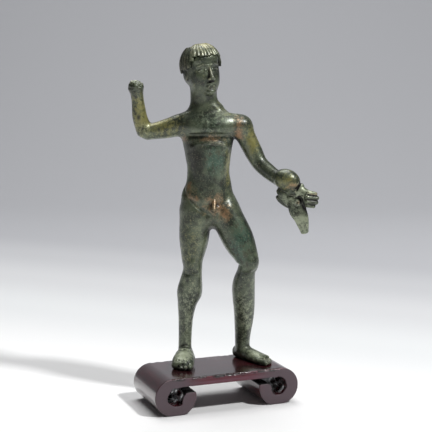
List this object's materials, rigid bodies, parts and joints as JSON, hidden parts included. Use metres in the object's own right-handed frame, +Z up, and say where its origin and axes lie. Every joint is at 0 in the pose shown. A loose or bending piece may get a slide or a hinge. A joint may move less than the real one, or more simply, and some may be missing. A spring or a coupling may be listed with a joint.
{
  "type": "bronze hero statuette on a scroll stand",
  "caption": "Small patinated bronze of a nude striding hero with a lion pelt over the forearm and one hand broken to a stump, on a dark carved hardwood scroll stand.",
  "frame": {"origin": "on the ground, under the middle of the outline of figure and stand together", "axes": "+X along the stand's length, to the figure's left hand side; +Y to the back of the stand; +Z up"},
  "size_m": [0.0596, 0.0382, 0.13],
  "materials": {
    "bronze": "aged cast bronze, dark green patina with copper-brown wear, semi-gloss",
    "hardwood": "dark red-brown stained hardwood, lacquered, worn along the front edges"
  },
  "bodies": {
    "root": {"figure": "bronze", "scroll_stand": "hardwood"}
  },
  "joints": []
}
